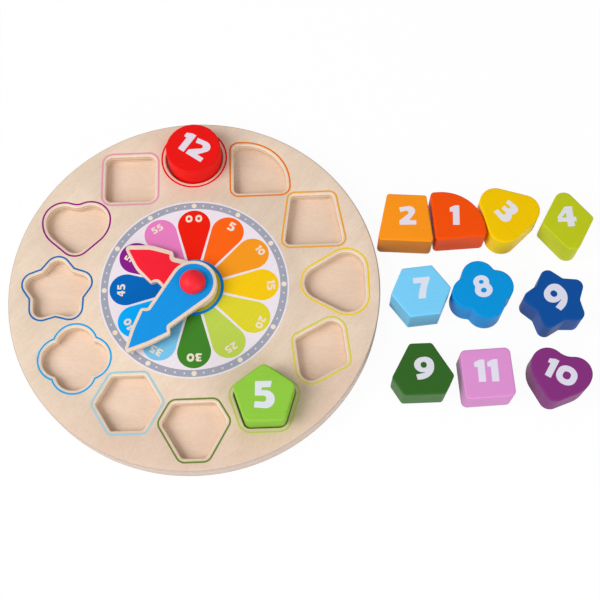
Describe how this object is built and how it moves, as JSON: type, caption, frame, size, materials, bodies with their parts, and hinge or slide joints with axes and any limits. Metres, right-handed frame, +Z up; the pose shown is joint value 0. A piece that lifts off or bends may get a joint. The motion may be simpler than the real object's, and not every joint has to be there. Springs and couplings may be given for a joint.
{
  "type": "clock shape sorter",
  "caption": "Round wooden clock board with shaped pockets around a coloured dial, turning hour and minute hands under a half-ball knob, and matching number blocks that lift out.",
  "frame": {"origin": "middle of the board's underside, on the hub's axis", "axes": "+Z up through the board, +Y towards twelve o'clock, +X towards three o'clock and the row of loose blocks"},
  "size_m": [0.4445, 0.28, 0.0352],
  "materials": {
    "base_plywood": "satin clear lacquer on birch plywood",
    "top_plywood": "satin clear lacquer on birch plywood, printed dial and printed lines round the pockets",
    "dowel_wood": "plain turned wood",
    "knob_red": "gloss paint on turned wood",
    "hour_hand_red": "gloss paint inside a bare wood border",
    "minute_hand_blue": "gloss paint inside a bare wood border",
    "block_orange_red": "satin paint on solid wood",
    "block_orange": "satin paint on solid wood",
    "block_yellow": "satin paint on solid wood",
    "block_lime": "satin paint on solid wood",
    "block_light_green": "satin paint on solid wood",
    "block_dark_green": "satin paint on solid wood",
    "block_pale_blue": "satin paint on solid wood",
    "block_blue": "satin paint on solid wood",
    "block_navy": "satin paint on solid wood",
    "block_purple": "satin paint on solid wood",
    "block_pink": "satin paint on solid wood",
    "block_red": "satin paint on solid wood"
  },
  "bodies": {
    "board": {"base_board": "base_plywood", "top_board": "top_plywood", "hub_dowel": "dowel_wood", "hub_knob": "knob_red"},
    "hour_hand": {"hour_hand": "hour_hand_red"},
    "minute_hand": {"minute_hand": "minute_hand_blue"},
    "block_01": {"block_01_quarter_circle": "block_orange_red"},
    "block_02": {"block_02_trapezoid": "block_orange"},
    "block_03": {"block_03_triangle": "block_yellow"},
    "block_04": {"block_04_rhombus": "block_lime"},
    "block_05": {"block_05_pentagon": "block_light_green"},
    "block_06": {"block_06_cut_triangle": "block_dark_green"},
    "block_07": {"block_07_hexagon": "block_pale_blue"},
    "block_08": {"block_08_clover": "block_blue"},
    "block_09": {"block_09_star": "block_navy"},
    "block_10": {"block_10_heart": "block_purple"},
    "block_11": {"block_11_square": "block_pink"},
    "block_12": {"block_12_circle": "block_red"}
  },
  "joints": [
    {"name": "hour_hand_turn", "type": "hinge", "parent": "board", "child": "hour_hand", "pos_m": [0, 0, 0.0188], "axis": [0, 0, 1], "continuous": true},
    {"name": "minute_hand_turn", "type": "hinge", "parent": "board", "child": "minute_hand", "pos_m": [0, 0, 0.0235], "axis": [0, 0, 1], "continuous": true},
    {"name": "block_01_lift", "type": "slide", "parent": "board", "child": "block_01", "axis": [0, 0, 1], "range_m": [0, 0.06]},
    {"name": "block_02_lift", "type": "slide", "parent": "board", "child": "block_02", "axis": [0, 0, 1], "range_m": [0, 0.06]},
    {"name": "block_03_lift", "type": "slide", "parent": "board", "child": "block_03", "axis": [0, 0, 1], "range_m": [0, 0.06]},
    {"name": "block_04_lift", "type": "slide", "parent": "board", "child": "block_04", "axis": [0, 0, 1], "range_m": [0, 0.06]},
    {"name": "block_05_lift", "type": "slide", "parent": "board", "child": "block_05", "axis": [0, 0, 1], "range_m": [0, 0.06]},
    {"name": "block_06_lift", "type": "slide", "parent": "board", "child": "block_06", "axis": [0, 0, 1], "range_m": [0, 0.06]},
    {"name": "block_07_lift", "type": "slide", "parent": "board", "child": "block_07", "axis": [0, 0, 1], "range_m": [0, 0.06]},
    {"name": "block_08_lift", "type": "slide", "parent": "board", "child": "block_08", "axis": [0, 0, 1], "range_m": [0, 0.06]},
    {"name": "block_09_lift", "type": "slide", "parent": "board", "child": "block_09", "axis": [0, 0, 1], "range_m": [0, 0.06]},
    {"name": "block_10_lift", "type": "slide", "parent": "board", "child": "block_10", "axis": [0, 0, 1], "range_m": [0, 0.06]},
    {"name": "block_11_lift", "type": "slide", "parent": "board", "child": "block_11", "axis": [0, 0, 1], "range_m": [0, 0.06]},
    {"name": "block_12_lift", "type": "slide", "parent": "board", "child": "block_12", "axis": [0, 0, 1], "range_m": [0, 0.06]}
  ]
}
